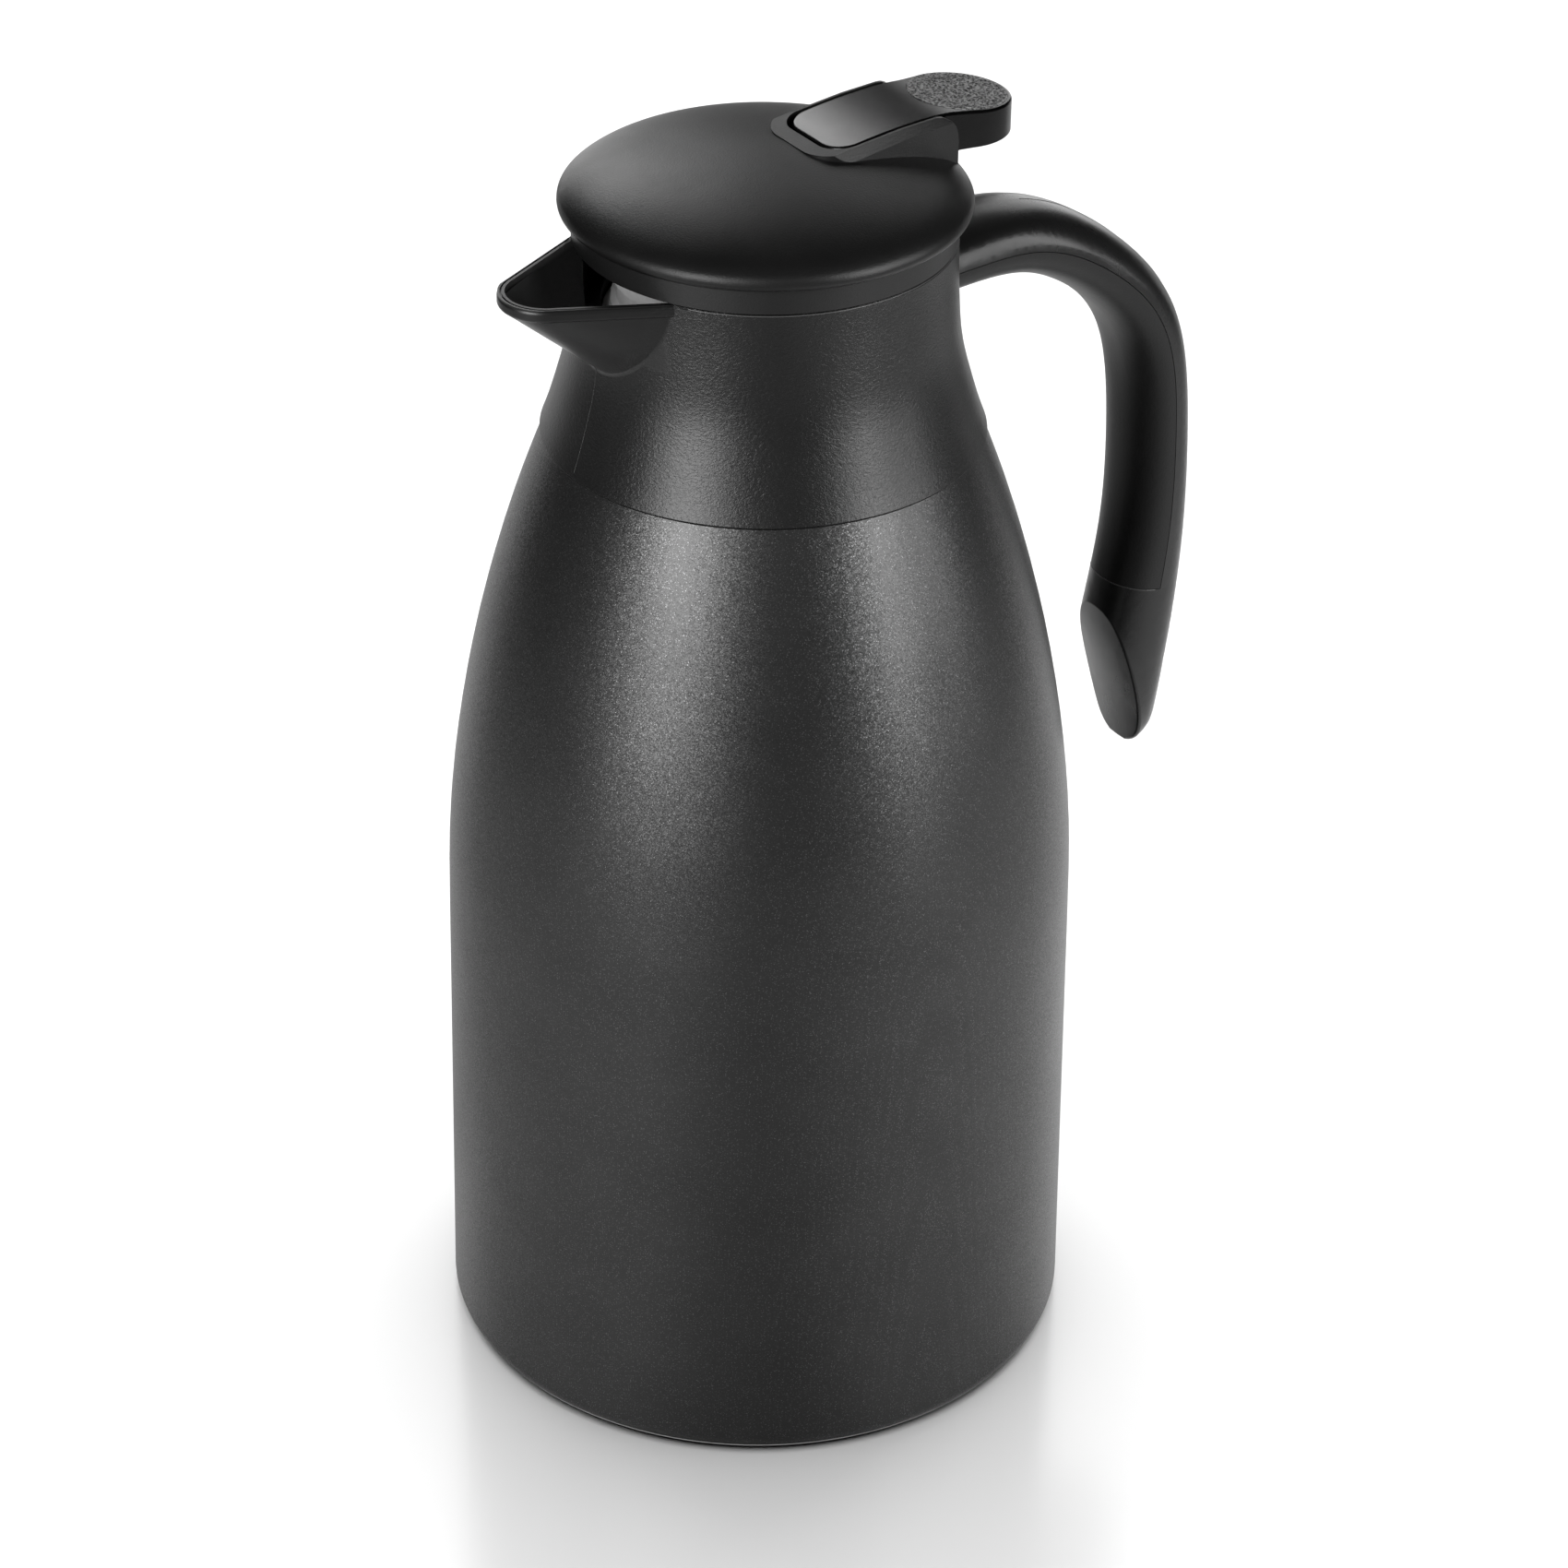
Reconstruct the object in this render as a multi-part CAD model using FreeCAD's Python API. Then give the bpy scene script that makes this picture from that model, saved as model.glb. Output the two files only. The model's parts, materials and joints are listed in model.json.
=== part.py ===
import FreeCAD, Part
import math
import os
from FreeCAD import Vector as V

os.makedirs("parts", exist_ok=True)

# Thermal carafe, millimetres.  Z is the flask's axis, z = 0 is the plane it
# stands on, +X points to the handle and -X to the spout.

# ---------------------------------------------------------------- dimensions
BASE_R = 69.0            # flask body at the bottom
BASE_EDGE_R = 3.1        # rounded bottom edge
SHELL_LIFT = 0.6         # steel edge above the table; the rubber ring carries
SHELL_T = 0.8
LINER_T = 0.6
SHOULDER = [(67.85, 98.0), (67.78, 103.7), (67.34, 119.9), (65.99, 136.1),
            (63.71, 152.3), (60.57, 168.5), (56.53, 184.7), (51.63, 200.8),
            (45.85, 216.5)]
NECK_IN = [(43.3, 216.5), (42.5, 218.6), (39.3, 223.2), (36.2, 226.2),
           (34.5, 228.6)]
LINER = [(63.85, 98.0), (63.78, 103.7), (63.35, 119.9), (62.05, 136.1),
         (59.85, 152.3), (56.85, 168.5), (53.0, 184.7), (48.3, 200.8),
         (43.4, 212.2), (39.8, 217.8), (36.0, 223.2), (33.3, 226.6),
         (31.9, 229.0)]
NECK_R = 34.5            # steel neck, outside
NECK_BORE = 31.0         # liner bore at the neck
LIP_R = 37.2             # rolled lip
LIP_Z = 232.0

COLLAR = [(46.39, 217.2), (44.75, 221.8), (43.24, 226.8), (41.85, 231.8),
          (40.78, 236.7), (40.15, 241.6), (39.81, 246.5), (39.5, 253.0),
          (39.4, 260.1)]
COLLAR_T = 2.4
COLLAR_TOP = 260.5
COLLAR_BOT = 216.8
SHELF_Z = (244.0, 246.0)
SLEEVE_R = (33.5, 36.0)  # threaded sleeve, bore and outside
SLEEVE_Z = 234.1
WELL_R = 37.0            # inside wall above the shelf

THREAD_LEAD = 12.0
THREAD_STARTS = 2
THREAD_Z = (236.2, 244.8)
RIDGE_ROOT, RIDGE_TIP = 2.2, 1.2
STOP_R = 31.5            # stopper core
FLANGE_R = 31.8
STOP_RIDGE_R = 33.15
COLLAR_RIDGE_R = 31.95

SPOUT_RIM_Z = 260.5
SPOUT_TIP_X = -51.8      # centre of the tip's plan circle
SPOUT_TIP_R = 8.2        # inside of the lip
LIP_W = 1.6
LIP_H = 2.8
LIP_GROOVE = (0.62, 1.0, 0.5)   # fine groove in the lip: from, to, depth
SPOUT_FILLET = 1.2
KEEL = (20.3, 0.842)     # spout's depth at the collar, and its slope
RIM_NEAR = (-34.4, 17.7)  # the lip's inside edge where it meets the collar

DOME_A, DOME_P = 42.6, 1.743
DOME_Z0, DOME_H, DOME_Q = 267.2, 11.3, 2.134
SKIRT_R = 39.4
CHEEK_Y = 12.4
POCKET_Y = 10.4
LEVER_Y = 10.0
PIVOT = (28.0, 274.5)
PIN_R = 1.5
LINK_Z = 268.5
LINK_R = 1.25
THUMB_X, THUMB_R, PAD_R = 46.8, 11.3, 10.4
NOSE = (10.4, 278.75)    # lever's top line: nose, crest, then the pad
CREST = (36.5, 281.3)
PAD_TILT = math.radians(5.2)

# handle centre line (x, z), half thickness and half width
HANDLE = [(28.0, 245.1, 7.6, 12.4), (38.2, 245.6, 7.2, 12.2),
          (48.0, 246.0, 7.2, 12.0), (61.4, 245.05, 7.5, 11.6),
          (69.9, 242.1, 7.5, 11.5), (76.8, 238.2, 7.4, 11.4),
          (85.2, 231.8, 7.3, 11.5), (91.75, 224.8, 7.3, 11.6),
          (97.0, 215.5, 7.2, 11.3), (99.8, 205.0, 7.1, 11.0),
          (101.2, 192.0, 7.3, 10.6), (101.7, 177.0, 7.7, 10.3),
          (101.35, 165.0, 8.3, 10.0), (100.4, 155.4, 9.0, 9.8),
          (98.55, 143.0, 9.85, 9.7), (96.85, 132.0, 10.1, 9.6),
          (96.2, 125.0, 9.75, 9.4), (96.2, 119.5, 9.15, 8.9),
          (96.6, 116.2, 8.4, 8.2), (97.0, 113.8, 7.4, 7.3),
          (97.6, 112.1, 6.0, 6.1), (98.2, 111.0, 4.3, 4.6),
          (98.7, 110.4, 2.4, 2.7)]
COVER_END_Z = 152.3
FACET = [(88.7, 150.4), (89.4, 146.0), (90.5, 140.0), (93.0, 130.0),
         (95.6, 120.0), (97.0, 113.5), (98.1, 106.0)]
FACET_SOFT = (0.8, 0.6)   # rounding of its outline, first that fits
FACET_CROWN = 0.9        # the facet is a little rounded across
HANDLE_WALL = 2.2
SEAM_GAP = 0.16


# ------------------------------------------------------------------- helpers
def ln(p, q):
    return Part.makeLine(V(p[0], 0, p[1]), V(q[0], 0, q[1]))


def bsp(pts):
    c = Part.BSplineCurve()
    c.interpolate([V(r, 0, z) for r, z in pts])
    return c


def offset_pts(curve, d, n):
    """Points of an XZ curve moved d to its left."""
    out = []
    a, b = curve.FirstParameter, curve.LastParameter
    for i in range(n):
        u = a + (b - a) * i / (n - 1.0)
        p = curve.value(u)
        t = curve.tangent(u)[0]
        out.append((p.x - d * t.z, p.z + d * t.x))
    return out


def chain(items):
    """Closed XZ wire from a list of points and ('s', points) splines."""
    edges, last, first = [], None, None
    for it in items:
        if it[0] == "s":
            pts = it[1]
            if last is not None and math.dist(last, pts[0]) > 1e-6:
                edges.append(ln(last, pts[0]))
            edges.append(bsp(pts).toShape())
            if first is None:
                first = pts[0]
            last = pts[-1]
        elif it[0] == "a":
            p, m, q = it[1]
            if last is not None and math.dist(last, p) > 1e-6:
                edges.append(ln(last, p))
            edges.append(Part.Arc(V(p[0], 0, p[1]), V(m[0], 0, m[1]),
                                  V(q[0], 0, q[1])).toShape())
            if first is None:
                first = p
            last = q
        else:
            if last is not None:
                edges.append(ln(last, it))
            else:
                first = it
            last = it
    if math.dist(last, first) > 1e-6:
        edges.append(ln(last, first))
    return Part.Wire(edges)


def rev(items):
    f = Part.Face(chain(items))
    return f.revolve(V(0, 0, 0), V(0, 0, 1), 360)


def prism_y(items, y0, y1):
    f = Part.Face(chain(items))
    f.translate(V(0, y0, 0))
    return f.extrude(V(0, y1 - y0, 0))


def plan(edges, z0, z1):
    f = Part.Face(Part.Wire(edges))
    f.translate(V(0, 0, z0))
    return f.extrude(V(0, 0, z1 - z0))


def cyl(r, h, p, d=(0, 0, 1)):
    return Part.makeCylinder(r, h, V(*p), V(*d))


def box(x0, x1, y0, y1, z0, z1):
    return Part.makeBox(x1 - x0, y1 - y0, z1 - z0, V(x0, y0, z0))


def ridge(r_root, r_tip, z0, z1, phase, sink):
    """One helical thread ridge, trapezoid section."""
    h = Part.makeHelix(THREAD_LEAD, z1 - z0, (r_root + r_tip) / 2.0)
    rb = r_root - sink if r_tip > r_root else r_root + sink
    a, b = RIDGE_ROOT / 2.0, RIDGE_TIP / 2.0
    w = Part.makePolygon([V(rb, 0, -a), V(r_root, 0, -a), V(r_tip, 0, -b),
                          V(r_tip, 0, b), V(r_root, 0, a), V(rb, 0, a),
                          V(rb, 0, -a)])
    s = Part.Wire(h.Edges).makePipeShell([w], True, True)
    s.rotate(V(0, 0, 0), V(0, 0, 1), phase)
    s.translate(V(0, 0, z0))
    return s


def try_fillet(shape, radius, pick):
    """Round the edges that pick() accepts; leave the shape if it can't."""
    es = [e for e in shape.Edges if pick(e)]
    if not es:
        return shape
    try:
        s = shape.makeFillet(radius, es)
        if s.isValid() and s.Volume > 0.5 * shape.Volume:
            return s
    except Exception:
        pass
    return shape


NODES = {}


def put(name, shape):
    NODES[name] = shape


# --------------------------------------------------------------- vacuum flask
zb = SHELL_LIFT
c45 = math.cos(math.pi / 4)
er, ei = BASE_EDGE_R, BASE_EDGE_R - SHELL_T
ec = (BASE_R - er, zb + er)
sh_curve = bsp(SHOULDER)
sh_in = offset_pts(sh_curve, SHELL_T, 15)
sh_in[0] = (SHOULDER[0][0] - SHELL_T, SHOULDER[0][1])
neck_curve = bsp(NECK_IN)
neck_in = offset_pts(neck_curve, SHELL_T, 9)
neck_in[-1] = (NECK_R - SHELL_T, NECK_IN[-1][1])
# the step under the collar
sh_in = [p for p in sh_in if p[1] < 213.5] + [(45.6, 214.9)]
neck_in = [(42.55, 217.2)] + [p for p in neck_in if p[1] > 218.4]
put("outer_shell", rev([
    (63.4, zb), (ec[0], zb),
    ("a", [(ec[0], zb), (ec[0] + er * c45, ec[1] - er * c45),
           (BASE_R, ec[1])]),
    SHOULDER[0], ("s", SHOULDER), NECK_IN[0], ("s", NECK_IN),
    (NECK_R, LIP_Z - 0.6), (LIP_R, LIP_Z - 0.6), (LIP_R, LIP_Z),
    (NECK_R - SHELL_T, LIP_Z),
    ("s", neck_in[::-1]), ("s", sh_in[::-1]),
    (BASE_R - SHELL_T, ec[1]),
    ("a", [(BASE_R - SHELL_T, ec[1]),
           (ec[0] + ei * c45, ec[1] - ei * c45), (ec[0], zb + SHELL_T)]),
    (63.4, zb + SHELL_T)]))

li_curve = bsp(LINER)
li_in = offset_pts(li_curve, LINER_T, 21)
li_in[0] = (LINER[0][0] - LINER_T, LINER[0][1])
li_in[-1] = (NECK_BORE + 0.3, LINER[-1][1])
NO = NECK_BORE + LINER_T
put("inner_flask", rev([
    (0, 8.6), (55.0, 8.6),
    ("a", [(55.0, 8.6), (55.0 + 9.6 * c45, 18.2 - 9.6 * c45), (64.6, 18.2)]),
    LINER[0], ("s", LINER), (NO, 230.2), (NO, LIP_Z), (LIP_R, LIP_Z),
    (LIP_R, LIP_Z + 0.6), (NECK_BORE, LIP_Z + 0.6), (NECK_BORE, 230.2),
    ("s", li_in[::-1]), (64.0, 18.2),
    ("a", [(64.0, 18.2), (55.0 + 9.0 * c45, 18.2 - 9.0 * c45), (55.0, 9.2)]),
    (0, 9.2)]))
put("foil_wrap", rev([(65.5, 22.0), (65.8, 22.0), (65.5, 96.0),
                      (65.2, 96.0)]))
put("base_plate", rev([
    (64.8, 1.42), (64.8, 2.2), (62.0, 2.2), (60.2, 4.0), (4.9, 4.0),
    (3.9, 5.6), (1.2, 5.6), (1.2, 4.8), (3.3, 4.8), (4.1, 3.2),
    (60.0, 3.2), (61.8, 1.42)]))
put("vacuum_seal_plug", rev([(0, 3.4), (3.7, 3.4), (3.15, 4.65),
                             (1.1, 4.65), (1.1, 5.3), (0, 5.3)]))
put("getter", cyl(7.0, 2.2, (26.0, 0, 4.05)))
put("base_pad", rev([(0, 0), (58.6, 0), (59.4, 0.8), (59.4, 3.1),
                     (0, 3.1)]))

# -------------------------------------------------------------------- collar
co_curve = bsp(COLLAR)
ci_pts = [p for p in offset_pts(co_curve, COLLAR_T, 25)
          if COLLAR_BOT + 0.9 < p[1] < SHELF_Z[0] - 1.5]
ci_top = (ci_pts[-1][0] - 0.15, SHELF_Z[0])
collar = rev([
    (44.0, COLLAR_BOT), (46.1, COLLAR_BOT), ("s", COLLAR),
    (39.05, COLLAR_TOP), (WELL_R + 0.3, COLLAR_TOP),
    (WELL_R, COLLAR_TOP - 0.3), (WELL_R, SHELF_Z[1]),
    (SLEEVE_R[0], SHELF_Z[1]), (SLEEVE_R[0], SLEEVE_Z),
    (SLEEVE_R[1], SLEEVE_Z), (SLEEVE_R[1], SHELF_Z[0]), ci_top,
    ("s", [ci_top] + ci_pts[::-1] + [(44.0, COLLAR_BOT + 0.6)])])
collar_skin = rev([(0, COLLAR_BOT), (46.1, COLLAR_BOT), ("s", COLLAR),
                   (39.05, COLLAR_TOP), (0, COLLAR_TOP)])

# spout: a half elliptical cone under a plan with a round tip
def spout_plan(off, x_root=-26.0):
    """Plan outline, moved outwards by off: two sides tangent to the tip."""
    cx, r = SPOUT_TIP_X, SPOUT_TIP_R + off
    # the side's direction from the rim point and the tip circle
    dx, dy = RIM_NEAR[0] - cx, RIM_NEAR[1]
    d = math.hypot(dx, dy)
    ang = math.atan2(dy, dx) - math.asin(SPOUT_TIP_R / d)
    ux, uy = math.cos(ang), math.sin(ang)
    nx, ny = -uy, ux
    tx, ty = cx + nx * r, ny * r
    k = (x_root - tx) / ux
    rx, ry = tx + ux * k, ty + uy * k
    a = Part.makeLine(V(rx, -ry, 0), V(tx, -ty, 0))
    arc = Part.Arc(V(tx, -ty, 0), V(cx - r, 0, 0), V(tx, ty, 0)).toShape()
    b = Part.makeLine(V(tx, ty, 0), V(rx, ry, 0))
    c = Part.makeLine(V(rx, ry, 0), V(rx, -ry, 0))
    return [a, arc, b, c]


def plan_half(off, x):
    """Half width of the plan's straight sides at x."""
    dx, dy = RIM_NEAR[0] - SPOUT_TIP_X, RIM_NEAR[1]
    ang = math.atan2(dy, dx) - math.asin(SPOUT_TIP_R / math.hypot(dx, dy))
    return (RIM_NEAR[1] + off / math.cos(ang)
            + (x - RIM_NEAR[0]) * math.tan(ang))


def half_cone(off, drop, x0, x1, zc):
    ws = []
    for x in (x0, x1):
        w = plan_half(off, x)
        d = max(KEEL[0] - KEEL[1] * (-40.2 - x) - drop, 0.3)
        n = 48
        pts = [V(x, -w * math.sin(2 * math.pi * i / n),
                 zc + d * math.cos(2 * math.pi * i / n)) for i in range(n)]
        c = Part.BSplineCurve()
        c.interpolate(pts, True)
        ws.append(Part.Wire(c.toShape()))
    return Part.makeLoft(ws, True, True)


ZS = COLLAR_TOP
well = rev([(0, 220), (WELL_R + 0.8, 220), (WELL_R + 0.8, 270), (0, 270)])
spout_out = half_cone(LIP_W - 0.4, 0.0, -26.0, -63.4, ZS).common(
    plan(spout_plan(LIP_W - 0.15), 225.0, ZS))
lip_out = plan(spout_plan(LIP_W), SPOUT_RIM_Z - LIP_H, SPOUT_RIM_Z)
lip_out = try_fillet(lip_out, 0.9, lambda e: e.BoundBox.XMax < -26.0 - 1e-6 or (
    e.BoundBox.ZLength < 1e-6 and abs(e.BoundBox.YLength) > 1e-6
    and e.BoundBox.XLength > 1e-6))
chan = half_cone(0.22, 2.0, -26.0, -61.6, ZS).common(
    plan(spout_plan(0.0), 246.2, ZS))
mouth = plan(spout_plan(0.0), ZS - 2.6, SPOUT_RIM_Z + 2.0)
mouth = mouth.common(box(-70, -20, -30, 30, ZS - 1.3, SPOUT_RIM_Z + 2.0))
groove = plan(spout_plan(LIP_GROOVE[1]), SPOUT_RIM_Z - LIP_GROOVE[2],
              SPOUT_RIM_Z + 1.0)
groove = groove.cut(plan(spout_plan(LIP_GROOVE[0]), 250.0, 270.0))
groove = groove.cut(cyl(39.8, 20.0, (0, 0, 250.0)))
skin_r = [(co_curve.value(co_curve.FirstParameter + (
    co_curve.LastParameter - co_curve.FirstParameter) * i / 400.0))
    for i in range(401)]


def spout_root(e):
    """The line where the spout's outside leaves the collar."""
    p = e.valueAt((e.FirstParameter + e.LastParameter) / 2.0)
    if p.x > -28.0 or not 236.0 < p.z < COLLAR_TOP - 0.6:
        return False
    r = min(skin_r, key=lambda q: abs(q.z - p.z)).x
    return abs(math.hypot(p.x, p.y) - r) < 0.08


collar = collar.fuse(spout_out.cut(well)).removeSplitter()
collar = try_fillet(collar, SPOUT_FILLET, spout_root)
collar = collar.fuse(lip_out.cut(well))
collar = collar.cut(chan).cut(mouth).cut(groove)
for i in range(THREAD_STARTS):
    collar = collar.fuse(ridge(SLEEVE_R[0], COLLAR_RIDGE_R, THREAD_Z[0] - 0.9,
                               THREAD_Z[1], 360.0 / THREAD_STARTS * i, 0.5))
# screw holes to the handle
SCREW_Y, SCREW_Z = 6.4, 249.2
for s in (-1, 1):
    collar = collar.cut(cyl(2.1, 12.0, (33.0, s * SCREW_Y, SCREW_Z),
                            (1, 0, 0)))
    collar = collar.cut(cyl(3.1, 3.5, (33.0, s * SCREW_Y, SCREW_Z),
                            (1, 0, 0)))
put("collar", collar)
put("neck_gasket", rev([(31.3, LIP_Z + 0.65), (36.2, LIP_Z + 0.65),
                        (36.2, SLEEVE_Z - 0.05), (31.3, SLEEVE_Z - 0.05)]))
put("retaining_ring", rev([(34.9, 228.9), (37.2, 228.4), (39.2, 229.4),
                           (39.2, 231.2), (34.9, 231.2)]))

# -------------------------------------------------------------------- handle
cl_pts = [(p[0], p[1]) for p in HANDLE]
cl = bsp(cl_pts)
us = [cl.parameter(V(x, 0, z)) for x, z in cl_pts]


def section(i, inset=0.0, n=28, e=2.25):
    x, z, a, b = HANDLE[i]
    a, b = max(a - inset, 0.6), max(b - inset, 0.6)
    t = cl.tangent(us[i])[0]
    nx, nz = -t.z, t.x                    # outwards of the arch
    pts = []
    for k in range(n):
        f = 2 * math.pi * k / n
        ca, sa = math.cos(f), math.sin(f)
        ca = math.copysign(abs(ca) ** (2.0 / e), ca)
        sa = math.copysign(abs(sa) ** (2.0 / e), sa)
        pts.append(V(x + nx * a * ca, b * sa, z + nz * a * ca))
    c = Part.BSplineCurve()
    c.interpolate(pts, True)
    return Part.Wire(c.toShape())


tube = Part.makeLoft([section(i) for i in range(len(HANDLE))], True, False)
hollow = Part.makeLoft([section(i, HANDLE_WALL) for i in range(3, 14)],
                       True, False)
# the free tip is cut by a shallow facet that looks at the flask
facet_wires = []
for y in (-16.0, -8.0, 0.0, 8.0, 16.0):
    w = chain([("s", [(x + FACET_CROWN * (y / 8.0) ** 2, z)
                      for x, z in FACET]), (60.0, FACET[-1][1]),
               (60.0, FACET[0][1])])
    w.translate(V(0, y, 0))
    facet_wires.append(w)
tube = tube.cut(Part.makeLoft(facet_wires, True, False))


def facet_edge(e):
    """The outline of the facet on the handle's tip."""
    for i in (1, 2, 3):
        p = e.valueAt(e.FirstParameter + (
            e.LastParameter - e.FirstParameter) * i / 4.0)
        if p.z > 149.5:
            return False
        x = None
        for a, b in zip(FACET[:-1], FACET[1:]):
            if b[1] <= p.z <= a[1]:
                x = a[0] + (b[0] - a[0]) * (p.z - a[1]) / (b[1] - a[1])
        if x is None or abs(x + FACET_CROWN * (p.y / 8.0) ** 2 - p.x) > 0.25:
            return False
    return True


for soft in FACET_SOFT:
    n0 = len(tube.Faces)
    tube = try_fillet(tube, soft, facet_edge)
    if len(tube.Faces) > n0:
        break
root_cut = rev([(0, 200.0), (47.3, 200.0), (46.52, 217.2)]
               + [("s", [(r + 0.13, z) for r, z in COLLAR])]
               + [(39.53, 262.0), (0, 262.0)])
tube = tube.cut(root_cut)


def inner_side(off, z_end, reach=15.0, n=90):
    """Region on the finger side of the seam, from the root to the cover's
    end."""
    a = cl.FirstParameter
    b = cl.parameter(V(100.0, 0, z_end))
    up, dn = [], []
    for i in range(n):
        u = a + (b - a) * i / (n - 1.0)
        p = cl.value(u)
        t = cl.tangent(u)[0]
        nx, nz = -t.z, t.x
        up.append((p.x + nx * off, p.z + nz * off))
        dn.append((p.x - nx * reach, p.z - nz * reach))
    return prism_y([("s", up[::4] + ([up[-1]] if (n - 1) % 4 else []))]
                   + [("s", (dn[::4] + ([dn[-1]] if (n - 1) % 4 else []))
                       [::-1])], -30, 30)


skin = tube.cut(hollow)
put("handle_cover", skin.common(inner_side(-SEAM_GAP / 2, COVER_END_Z
                                           + SEAM_GAP)))
shell = skin.cut(inner_side(SEAM_GAP / 2, COVER_END_Z))
for s in (-1, 1):
    shell = shell.cut(cyl(1.65, 12.2, (38.0, s * SCREW_Y, SCREW_Z),
                          (1, 0, 0)))
put("handle_shell", shell)
screws = []
for s in (-1, 1):
    hd = cyl(2.9, 1.9, (34.55, s * SCREW_Y, SCREW_Z), (1, 0, 0))
    hd = hd.fuse(cyl(1.6, 13.4, (36.4, s * SCREW_Y, SCREW_Z), (1, 0, 0)))
    hd = hd.cut(box(34.0, 35.4, s * SCREW_Y - 0.4, s * SCREW_Y + 0.4,
                    SCREW_Z - 2.0, SCREW_Z + 2.0))
    screws.append(hd)
put("handle_screws", Part.makeCompound(screws))


# ----------------------------------------------------------------------- lid
def dome_z(r):
    return DOME_Z0 + DOME_H * (1 - (r / DOME_A) ** DOME_P) ** (1 / DOME_Q)


dome_top = [(0, dome_z(0)), (4.0, dome_z(4.0))] + [
    (r, dome_z(r)) for r in (9.0, 15.0, 21.0, 27.0, 32.0, 36.0, 39.0, 41.0)]
dome_top += [(41.85, 269.4), (42.2, 268.4), (42.05, 267.4),
             (41.35, 266.65), (40.3, 266.4)]
dome_in = [(39.8, 267.6), (38.2, 269.6), (34.0, 271.8), (28.0, 273.5),
           (20.0, 275.0), (10.0, 276.2), (4.0, 276.48), (0, 276.5)]
cap = rev([("s", dome_top), (39.8, 266.4), ("s", dome_in)])
boss_room = rev([("s", dome_top), (39.0, 266.4), (39.0, 264.0), (0, 264.0)])
# block for the cheeks: raised behind, sunk in the dome in front, with its
# top edges sloping outwards
CHEEKS = [(4.0, 278.3, 276.2), (13.4, 279.5, 277.3), (25.4, 280.9, 279.1),
          (41.0, 281.8, 280.4)]


def cheek_section(x, zi, zo):
    yo, yi = CHEEK_Y, CHEEK_Y - 1.4
    zf = 266.75
    return Part.makePolygon([V(x, -yo, zf), V(x, -yo, zo), V(x, -yi, zi),
                             V(x, yi, zi), V(x, yo, zo), V(x, yo, zf),
                             V(x, -yo, zf)])


block_side = Part.makeLoft([cheek_section(*c) for c in CHEEKS], True, True)
block_side = block_side.common(prism_y([
    (0.0, 290.0), (33.2, 290.0), (33.4, 281.5), (35.4, 281.2),
    (37.0, 280.4), (38.0, 279.1), (38.5, 277.4), (39.2, 271.2),
    (39.2, 260.0), (0.0, 260.0)], -20, 20))


def u_plan(x0, x1, hw, r, z0, z1):
    """Plan with two rounded corners at the low-x end."""
    e = [Part.makeLine(V(x1, -hw, 0), V(x0 + r, -hw, 0)),
         Part.Arc(V(x0 + r, -hw, 0),
                  V(x0 + r - r * c45, -hw + r - r * c45, 0),
                  V(x0, -hw + r, 0)).toShape()]
    if hw - r > 1e-6:
        e.append(Part.makeLine(V(x0, -hw + r, 0), V(x0, hw - r, 0)))
    e += [Part.Arc(V(x0, hw - r, 0),
                   V(x0 + r - r * c45, hw - r + r * c45, 0),
                   V(x0 + r, hw, 0)).toShape(),
          Part.makeLine(V(x0 + r, hw, 0), V(x1, hw, 0)),
          Part.makeLine(V(x1, hw, 0), V(x1, -hw, 0))]
    return plan(e, z0, z1)


block = block_side.common(u_plan(5.6, 45.0, CHEEK_Y, 8.0, 260.0, 290.0))
# below the dome's outer face the block stays inside the lid
inside = rev([(0, 266.75), (39.6, 266.75), (39.6, 267.4), (40.6, 268.6),
              (40.6, 290.0), (0, 290.0)])
block = block.common(inside)
cap = cap.fuse(block)
boss_at = [(34.6 * math.cos(a), 34.6 * math.sin(a))
           for a in (math.radians(90), math.radians(180), math.radians(270))]
for bx, by in boss_at:
    b = cyl(2.9, 9.0, (bx, by, 264.25)).common(boss_room)
    cap = cap.fuse(b)
cap = cap.cut(u_plan(9.2, 46.0, POCKET_Y, 5.6, 268.6, 292.0))
cap = cap.cut(box(-1.0, 14.7, -6.4, 6.4, 264.0, 274.8))
cap = cap.cut(cyl(PIN_R + 0.02, 23.4, (PIVOT[0], -11.7, PIVOT[1]),
                  (0, 1, 0)))
for bx, by in boss_at:
    cap = cap.cut(cyl(1.5, 5.5, (bx, by, 264.2)))
cap = try_fillet(cap, 0.5, lambda e: e.BoundBox.ZMin > 278.0
                 and e.BoundBox.XMin > 12.0 and e.BoundBox.XMax < 37.2
                 and e.BoundBox.XLength > 10.0
                 and abs(e.BoundBox.YMax) > 12.0)
put("lid_cap", cap)

base = rev([
    (SKIRT_R, COLLAR_TOP + 0.35), (SKIRT_R, 266.6), (37.7, 266.6),
    (37.7, 264.2), (6.2, 264.2), (6.2, 265.8), (3.06, 265.8),
    (3.06, 259.6), (6.2, 259.6), (6.2, 262.2), (37.7, 262.2),
    (37.7, COLLAR_TOP + 0.35)])
for bx, by in boss_at:
    base = base.cut(cyl(1.75, 6.0, (bx, by, 260.0)))
put("lid_base", base)
ls = []
for bx, by in boss_at:
    s = cyl(2.5, 1.0, (bx, by, 261.15)).fuse(cyl(1.45, 6.8,
                                                 (bx, by, 262.1)))
    s = s.cut(box(bx - 2.0, bx + 2.0, by - 0.35, by + 0.35, 261.0, 261.6))
    ls.append(s)
put("lid_screws", Part.makeCompound(ls))

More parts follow.
